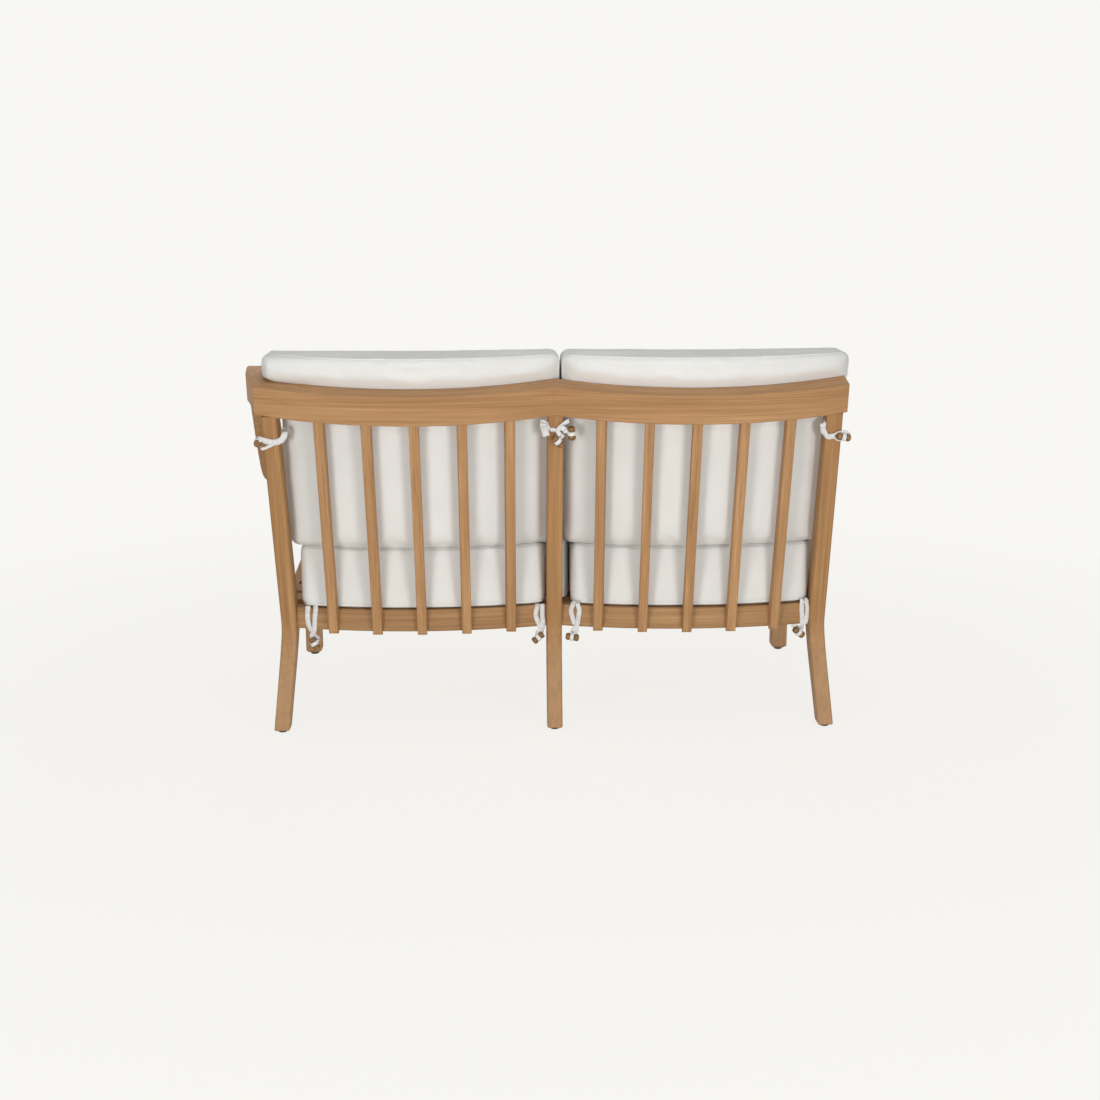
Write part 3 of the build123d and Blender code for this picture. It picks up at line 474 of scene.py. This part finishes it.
def stuffed(node, name, fit, puff=None):
    """A cushion cover made from the solid, let out, blown up as cloth and kept in the room it has."""
    form = merged_copy(node)
    solid = BVHTree.FromBMesh(form)
    neighbours = tree_of([other for other in nodes
                          if other != node and not other.endswith(("strap", "toggle"))])
    piece = new_piece(name, mesh_from(form, name), cushion_cloth, "frame")
    remesh(piece, COVER_CELL)
    smooth(piece.data, ROUNDS_BEFORE)
    let_out(piece, fit["let_out"])
    swell(piece, fit["swell"])
    smooth(piece.data, ROUNDS_AFTER)
    settle(piece.data, solid, neighbours, fit["proud"], fit["rear_proud"])
    if puff:
        puff(piece.data)
    mesh = subdivide(piece)
    mesh.materials.clear()
    mesh.materials.append(cushion_cloth)
    for polygon in mesh.polygons:
        polygon.use_smooth = True
    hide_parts(node)
    return piece


# A face looks a given way, chamfers with it, within 60 degrees
FACING = 0.5


def edge_ring(node, direction):
    """The closed line round the face and chamfer that a solid turns one way."""
    form = merged_copy(node)
    facing = {face for face in form.faces if face.normal.dot(direction) > FACING}
    rim = {edge for edge in form.edges if sum(face in facing for face in edge.link_faces) == 1}
    longest = []
    left = {vertex for edge in rim for vertex in edge.verts}
    while left:
        line = [left.pop()]
        while True:
            ahead = [edge.other_vert(line[-1]) for edge in line[-1].link_edges if edge in rim]
            ahead = [vertex for vertex in ahead if vertex in left]
            if not ahead:
                break
            line.append(ahead[0])
            left.discard(ahead[0])
        if len(line) > len(longest):
            longest = line
    points = [vertex.co.copy() for vertex in longest]
    form.free()
    return points


def even_spacing(points, gap):
    ring = points + [points[0]]
    lengths = [0.0]
    for first, second in zip(ring, ring[1:]):
        lengths.append(lengths[-1] + (second - first).length)
    count = int(lengths[-1] / gap)
    spots = np.array(ring)
    wanted = np.linspace(0, lengths[-1], count, endpoint=False)
    spread = np.stack([np.interp(wanted, lengths, spots[:, axis]) for axis in range(3)], axis=1)
    return spread


def eased_ring(spots, rounds):
    for _ in range(rounds):
        spots = (np.roll(spots, 1, 0) + 2 * spots + np.roll(spots, -1, 0)) / 4
    return spots


SEAM_STEP = 0.006
SEAM_EASING = 3


def welt(name, piece, node, direction, past, radius):
    """A corded seam, half sunk in the cover, just past the line where its solid's chamfer begins."""
    form = bmesh.new()
    form.from_mesh(piece.data)
    cover = BVHTree.FromBMesh(form)
    form.free()
    ring = eased_ring(even_spacing(edge_ring(node, direction), SEAM_STEP), SEAM_EASING)
    points = [cover.find_nearest(Vector(spot) + direction * past)[0] for spot in ring]
    points = eased_ring(np.array(points), SEAM_EASING)
    line = bpy.data.curves.new(name, "CURVE")
    line.dimensions = "3D"
    line.bevel_depth = radius
    line.bevel_resolution = 2
    spline = line.splines.new("POLY")
    spline.points.add(len(points) - 1)
    for point, place in zip(spline.points, points):
        point.co = (*place, 1)
    spline.use_cyclic_u = True
    holder = bpy.data.objects.new(f"{name}_line", line)
    bpy.context.scene.collection.objects.link(holder)
    mesh = finished(holder)
    bpy.data.objects.remove(holder)
    return new_piece(name, mesh, cushion_cloth, "frame")


def smooth_line(points, per_run):
    """Points on a smooth line through the given ones."""
    ends = [points[0] * 2 - points[1]] + list(points) + [points[-1] * 2 - points[-2]]
    line = []
    for a, b, c, d in zip(ends, ends[1:], ends[2:], ends[3:]):
        for step in range(per_run):
            t = step / per_run
            line.append(0.5 * (b * 2 + (c - a) * t + (a * 2 - b * 5 + c * 4 - d) * t * t
                               + (b * 3 - a - c * 3 + d) * t ** 3))
    return line + [points[-1].copy()]


# Radius of the corners of an eight-sided strip, as a share of its width or thickness
EIGHT_SIDED = 0.54


def webbing(name, points, faces, width, thickness, per_run=6):
    """A flat woven strip along a smooth line, its flat side looking the given ways."""
    line = smooth_line(points, per_run)
    looks = smooth_line(faces, per_run)
    form = bmesh.new()
    bmesh.ops.create_circle(form, cap_ends=True, segments=8, radius=1.0)
    bmesh.ops.rotate(form, verts=form.verts, matrix=Matrix.Rotation(math.radians(22.5), 3, "Z"))
    bmesh.ops.scale(form, verts=form.verts, vec=(width * EIGHT_SIDED, thickness * EIGHT_SIDED, 1))
    stations = []
    for index, place in enumerate(line):
        run = (line[min(index + 1, len(line) - 1)] - line[max(index - 1, 0)]).normalized()
        face = (looks[index] - run * looks[index].dot(run)).normalized()
        side = face.cross(run)
        turn = Matrix((side, face, run)).transposed().to_4x4()
        stations.append(Matrix.Translation(place) @ turn)
    bmesh.ops.transform(form, matrix=stations[0], verts=form.verts)
    end = form.faces[:][0]
    for before, after in zip(stations, stations[1:]):
        grown = bmesh.ops.extrude_face_region(form, geom=[end])
        end = next(part for part in grown["geom"] if isinstance(part, bmesh.types.BMFace))
        bmesh.ops.transform(form, matrix=after @ before.inverted(), verts=end.verts[:])
    bmesh.ops.recalc_face_normals(form, faces=form.faces)
    return mesh_from(form, name)


def long_axis(node):
    """The direction in which a toggle is longest, and its middle."""
    spots = places(nodes[node].data)
    middle = (spots.max(0) + spots.min(0)) / 2
    spread = spots - spots.mean(0)
    return Vector(middle), Vector(np.linalg.eigh(spread.T @ spread)[1][:, 2]).normalized()


def turned(tie, suffix, outline, steps, material):
    """A round piece on a toggle's axis, turned from radius and place along the axis in millimetres."""
    middle, axis = long_axis(f"{tie}_toggle")
    form = bmesh.new()
    points = [form.verts.new((radius * MM, along * MM, 0)) for radius, along in outline]
    for first, second in zip(points, points[1:]):
        form.edges.new((first, second))
    if outline[0] == outline[-1]:
        bmesh.ops.remove_doubles(form, verts=form.verts, dist=SAME_POINT)
    bmesh.ops.spin(form, geom=form.verts[:] + form.edges[:], cent=(0, 0, 0), axis=(0, 1, 0),
                   angle=math.tau, steps=steps, use_merge=True)
    bmesh.ops.remove_doubles(form, verts=form.verts, dist=SAME_POINT)
    bmesh.ops.recalc_face_normals(form, faces=form.faces)
    turn = Vector((0, 1, 0)).rotation_difference(axis).to_matrix().to_4x4()
    bmesh.ops.transform(form, matrix=Matrix.Translation(middle) @ turn, verts=form.verts)
    name = f"{tie}_{suffix}"
    return new_piece(name, mesh_from(form, name), material, f"{tie}_toggle_body")


# Cushions. A fit says how far a cover is let out, how far it may swell as cloth, and how far it may
# stand proud of its solid, at its sides and at its rear
COVER_CELL = 0.0085
ROUNDS_BEFORE, ROUNDS_AFTER = 3, 4
SEAT_FIT = {"let_out": 0.0060, "swell": 0.010, "proud": 0.007, "rear_proud": 0.007}
BACK_FIT = {"let_out": 0.0050, "swell": 0.016, "proud": 0.006, "rear_proud": 0.014}

# Seams of a cover: the way its face looks, how far past the line it runs, and its radius
SEAT_SEAMS = (("lower", -UP, 0.006, 0.0030), ("upper", UP, 0.004, 0.0018))
BACK_SEAMS = (("rear", BACK_OUT, 0.004, 0.0014), ("front", -BACK_OUT, 0.004, 0.0016))

# How far the covers spread past their solids, in metres, and the parts of a spread by height
ARM_PUFF = 0.044
OPEN_PUFF = 0.012
SEAT_PUFF = 0.008
TOP_SAG = 0.010
LOW_PART, MIDDLE_PART, TOP_PART = 0.12, 0.29, 0.59

# Where each spread starts and the run over which it grows, up or towards an end
SAG_RISE = (0.885, 0.050)
BESIDE_ARM_RISE = (0.790, 0.050)
OVER_ARM_RISE = (0.872, 0.014)
OVER_RAIL_RISE = (0.850, 0.030)
BACK_TO_ARM = (0.460, 0.110)
BACK_TO_OPEN_END = (0.600, 0.110)
SEAT_TO_ARM = (0.480, 0.080)

# The rounded upper corner beside the arm is squared up, by a share of what it lacks to its end
CORNER_END = 0.6105
CORNER_DEPTH = 0.035
CORNER_SHARE = 0.45

# The gap kept to a neighbour, and how deep inside it a point may be and still be pushed out
CLEARANCE = 0.0006
DEEPEST_PUSH = 0.020


def ramp(value, start, run):
    """Rises smoothly from 0 at the start to 1 at the end of the run."""
    share = min(1.0, max(0.0, (value - start) / run))
    return share * share * (3 - 2 * share)


def sag_top(place):
    place.z -= TOP_SAG * ramp(place.z, *SAG_RISE)


def puff_over_arm(mesh):
    """The upper corner beside the arm fills the space up to it, then spreads over its top."""
    for vertex in mesh.vertices:
        place = vertex.co
        share = (LOW_PART + MIDDLE_PART * ramp(place.z, *BESIDE_ARM_RISE)
                 + TOP_PART * ramp(place.z, *OVER_ARM_RISE))
        lack = max(0.0, CORNER_END - place.x)
        reach = ARM_PUFF + CORNER_SHARE * min(lack, CORNER_DEPTH)
        place.x += share * ramp(place.x, *BACK_TO_ARM) * reach
        sag_top(place)
    keep_clear(mesh, tree_of(["arm", "arm_side_top_rail"]))


def puff_past_rail(mesh):
    """The upper corner at the open end bulges over the end of the top rail."""
    for vertex in mesh.vertices:
        place = vertex.co
        place.x -= OPEN_PUFF * ramp(place.z, *OVER_RAIL_RISE) * ramp(-place.x, *BACK_TO_OPEN_END)
        sag_top(place)
    mesh.update()


def fill_to_arm(mesh):
    """The end of the seat cushion beside the arm presses out towards the post."""
    for vertex in mesh.vertices:
        vertex.co.x += SEAT_PUFF * ramp(vertex.co.x, *SEAT_TO_ARM)
    mesh.update()


def keep_clear(mesh, neighbour):
    """Points that touch a neighbour, or lie just inside it, come out to the clearance."""
    for vertex in mesh.vertices:
        near, normal, _, distance = neighbour.find_nearest(vertex.co)
        if distance < CLEARANCE or (vertex.co - near).dot(normal) < 0 and distance < DEEPEST_PUSH:
            vertex.co = near + normal * CLEARANCE
    mesh.update()


def make_cushions():
    for side, seat_puff, back_puff in (("arm_side", fill_to_arm, puff_over_arm),
                                       ("open_side", None, puff_past_rail)):
        for kind, fit, seams, puff in (("seat", SEAT_FIT, SEAT_SEAMS, seat_puff),
                                       ("back", BACK_FIT, BACK_SEAMS, back_puff)):
            node = f"{side}_{kind}_cushion"
            piece = stuffed(node, f"{side}_{kind}_cover", fit, puff)
            for edge, direction, past, radius in seams:
                welt(f"{side}_{kind}_{edge}_seam", piece, node, direction, past, radius)


# Ties
WEBBING = 0.0030
TOGGLE_OUTLINE = ((0, 15.2), (2.6, 15.3), (3.6, 16), (6.4, 16), (8.1, 14.6), (8.9, 11.8), (9, 9), (8.6, 7),
                  (7.2, 5.6), (6.1, 5.2), (6, 0), (6.1, -5.2), (7.2, -5.6), (8.6, -7), (9, -9), (8.9, -11.8),
                  (8.1, -14.6), (6.4, -16), (3.6, -16), (2.6, -15.3), (0, -15.2))
LOOP_OUTLINE = ((6.1, -4.4), (8.8, -4.7), (9.7, -3.2), (9.9, 0), (9.7, 3.2), (8.8, 4.7), (6.1, 4.4),
                (6.1, -4.4))
LOOP_RADIUS = 0.0094

# Nearer to the wood than this, a strand lies flat on it
ON_WOOD = 0.006

# A strand is its width, whether it joins the loop round the toggle, and its points in millimetres: for
# the upper ones along the bench, out of the back's plane and down from the top rail, for the lower
# ones plain x, y and z
UPPER_STRANDS = {
    "arm_end_tie": (
        (14.6, True, ((599.9, -20, 32.4), (598.2, -6, 39.8), (603.3, -1.5, 52.1), (615, -1.5, 60),
                      (628.9, -1.5, 61.4), (641.5, -1.5, 58.3), (652.9, -1.5, 54.2), (661, -4, 54.5))),
        (7.0, True, ((619.6, -1, 63.2), (630.4, -0.8, 68.1), (638.7, 0.5, 71.8), (647.2, 0, 75.7),
                     (655, -2, 77))),
    ),
    "centre_tie_1": (
        (11.0, False, ((-68.1, -8, 14.1), (-61.5, -1, 15.8), (-53.3, 0.2, 20.8), (-45.3, 1.2, 29.1),
                       (-41.5, 2.5, 36.3), (-45.8, 3.5, 43.9), (-54.7, 4, 51.3))),
        (13.0, True, ((-49.0, 2.6, 26.0), (-55.0, 5, 30.5), (-60.0, 8, 35))),
    ),
    "centre_tie_2": (
        (17.0, False, ((-8.8, -14, 14.6), (-7.4, -4, 23.7), (-10.6, 0, 34.5), (-14.8, 3, 48.9))),
        (9.0, True, ((-16.8, -12, 17.7), (-17.7, -3, 25.7), (-21.7, -1.2, 33.3), (-29.9, -1.2, 34.1),
                     (-37.5, 0.5, 35), (-42.5, 4.5, 41), (-43.0, 7.5, 48))),
    ),
    "open_end_tie": (
        (13.6, False, ((-670.9, -16, 21.3), (-668, -5, 28.9), (-668.9, -2.5, 40.5), (-675.4, -1.2, 51.6),
                       (-683, -1, 56.1), (-693.5, -0.6, 54.6))),
        (6.5, False, ((-688, 0.4, 55.6), (-697.5, 0.6, 49), (-706, 1.6, 44.6), (-715, 3, 42.2), (-725, 3, 44),
                      (-731.5, -1, 51))),
        (7.0, True, ((-687, 0.2, 55), (-696.1, 0.4, 58), (-706, 2, 63.4))),
    ),
}
LOWER_STRANDS = {
    "arm_end_seat_tie": (
        (13.0, True, ((571.7, 250.6, 314.2), (571.1, 257.8, 308.2), (572.9, 257.3, 293.3),
                      (571.4, 257.7, 272.2), (565.7, 259.1, 254.3), (556.5, 264.1, 241.9), (548, 270, 236))),
        (12.0, True, ((552, 255.4, 315.3), (551.4, 262.6, 309.3), (554.2, 261.9, 285.9), (556, 261.4, 264.6),
                      (558.5, 261.2, 249.8), (563, 262.5, 240))),
    ),
    "centre_seat_tie_1": (
        (12.0, True, ((6.4, 249.3, 313.3), (6.6, 256.4, 308), (10.4, 257.4, 288.6), (5.3, 256, 270),
                      (-2.6, 255.2, 251.2), (-3, 259, 243))),
        (12.0, True, ((-6.3, 246, 312.3), (-6.1, 253, 307), (-6, 253.1, 284.7), (-7.4, 252.7, 264.8),
                      (-5, 254, 251), (3, 262, 246))),
    ),
    "centre_seat_tie_2": (
        (12.0, True, ((-82.6, 250.7, 319.2), (-81.6, 257.4, 313.8), (-76.7, 256.2, 297.9),
                      (-81.7, 257.4, 274.6), (-88, 259.7, 257), (-90, 263, 247))),
        (12.0, True, ((-92.7, 253.2, 319.7), (-93.1, 260.3, 314.5), (-96.8, 261.2, 299.1),
                      (-94.4, 260.6, 277.9), (-90.4, 262.9, 260.4), (-82.2, 264.4, 248.1))),
    ),
    "open_end_seat_tie": (
        (12.7, True, ((-652.1, 248.1, 320.6), (-651, 255.4, 314.8), (-650.6, 255.5, 295.1),
                      (-652.3, 255.1, 275.4), (-653, 254.9, 257.5), (-650.2, 258.7, 249))),
        (12.0, False, ((-664.2, 244.9, 319.6), (-663, 252.3, 313.9), (-665.8, 251.5, 295.9),
                       (-664.4, 251.9, 274.4), (-661.2, 252.6, 256.6))),
        (7.0, False, ((-655, 256, 248), (-646.5, 260.4, 249.5), (-635, 266.5, 256), (-624, 271, 256))),
    ),
}


def on_back(x, out, down):
    return Vector((x * MM, RAIL_POINT.y, RAIL_POINT.z)) + (BACK_OUT * out + BACK_DOWN * down) * MM


def make_ties():
    wood = tree_of([name for name in nodes if name.endswith(("post", "rail"))])
    outward = {row["child"]: Vector(row["axis"]) for row in frame["joints"]}
    for tie in TIES:
        middle, axis = long_axis(f"{tie}_toggle")
        toggle = turned(tie, "toggle_turned", TOGGLE_OUTLINE, 32, dark_wood)
        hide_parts(f"{tie}_toggle")
        turned(tie, "loop", LOOP_OUTLINE, 28, strap_cloth)
        plain_look = outward[f"{tie}_toggle_body"] if tie in LOWER_STRANDS else BACK_OUT
        for number, (width, joins, route) in enumerate((UPPER_STRANDS | LOWER_STRANDS)[tie]):
            points = [on_back(*place) if tie in UPPER_STRANDS else Vector(place) * MM for place in route]
            looks = []
            for point in points:
                near, normal, _, distance = wood.find_nearest(point)
                looks.append(normal if distance < ON_WOOD else plain_look)
            if joins:
                away = points[-1] - middle
                away -= axis * away.dot(axis)
                points.append(middle + away.normalized() * LOOP_RADIUS)
                looks.append(away.normalized())
            name = f"{tie}_strand_{number + 1}"
            mesh = webbing(name, points, looks, width * MM, WEBBING)
            piece = new_piece(name, mesh, strap_cloth, "frame")
            if number == 0:
                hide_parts(f"{tie}_strap")


# Floor, light and background
BACKGROUND = (0.939, 0.930, 0.896)
SHADOW_SHARE = 0.10
SHADOW_FADE = (1.2, 2.6)
FLOOR_SIZE = 60
ROOM_LIGHT = 0.31


def seen_directly(finish):
    """One where the camera looks straight or by way of gloss or glass."""
    path = finish.node("ShaderNodeLightPath", output="Is Camera Ray")
    gloss = finish.node("ShaderNodeLightPath", output="Is Glossy Ray")
    through = finish.node("ShaderNodeLightPath", output="Is Transmission Ray")
    return path + gloss + through


def make_floor():
    finish = Finish(bpy.data.materials.new("pale_floor"))
    spot = finish.spot()
    reach = finish.node("ShaderNodeVectorMath", {"operation": "LENGTH"}, {0: spot}, "Value")
    plain = finish.node("ShaderNodeBsdfDiffuse", inputs={"Color": colour(*BACKGROUND)})
    glow = finish.node("ShaderNodeEmission", inputs={"Color": colour(*BACKGROUND), "Strength": 1.0})
    share = seen_directly(finish) * (1 - SHADOW_SHARE + finish.span(reach, *SHADOW_FADE) * SHADOW_SHARE)
    surface = finish.node("ShaderNodeMixShader", inputs={0: share, 1: plain, 2: glow})
    form = bmesh.new()
    bmesh.ops.create_grid(form, x_segments=1, y_segments=1, size=FLOOR_SIZE)
    mesh = mesh_from(form, "floor")
    mesh.materials.append(finish.done(surface))
    floor = bpy.data.objects.new("floor", mesh)
    bpy.context.scene.collection.objects.link(floor)


def make_world():
    world = bpy.data.worlds.new("studio")
    bpy.context.scene.world = world
    finish = Finish(world)
    room = finish.node("ShaderNodeBackground", inputs={"Color": colour(1, 1, 1), "Strength": ROOM_LIGHT})
    backdrop = finish.node("ShaderNodeBackground", inputs={"Color": colour(*BACKGROUND), "Strength": 1.0})
    surface = finish.node("ShaderNodeMixShader", inputs={0: seen_directly(finish), 1: room, 2: backdrop})
    finish.done(surface, "ShaderNodeOutputWorld")


LIT_POINT = Vector((0, 0.2, 0.5))


def make_lamp(name, azimuth, elevation, distance, size, watts):
    """A soft square lamp aimed at the bench; azimuth is from straight behind it, where the camera is."""
    across, up = math.radians(azimuth), math.radians(elevation)
    away = Vector((math.sin(across) * math.cos(up), math.cos(across) * math.cos(up), math.sin(up)))
    data = bpy.data.lights.new(name, "AREA")
    data.shape = "SQUARE"
    data.size = size
    data.energy = watts
    lamp = bpy.data.objects.new(name, data)
    bpy.context.scene.collection.objects.link(lamp)
    lamp.rotation_mode = "QUATERNION"
    lamp.location = LIT_POINT + away * distance
    lamp.rotation_quaternion = (-away).to_track_quat("-Z", "Y")


# Azimuth and elevation in degrees, distance and size in metres, watts
LAMPS = {
    "lamp_left": (25, 3, 4.0, 1.0, 46),
    "lamp_right": (-25, 3, 4.0, 1.0, 46),
    "lamp_over": (0, 72, 3.2, 2.2, 25),
    "lamp_front": (180, 40, 4.0, 2.0, 20),
}

make_camera()
dress_model()
make_cushions()
make_ties()
make_floor()
make_world()
for name, settings in LAMPS.items():
    make_lamp(name, *settings)
bpy.context.scene.view_settings.view_transform = "Standard"
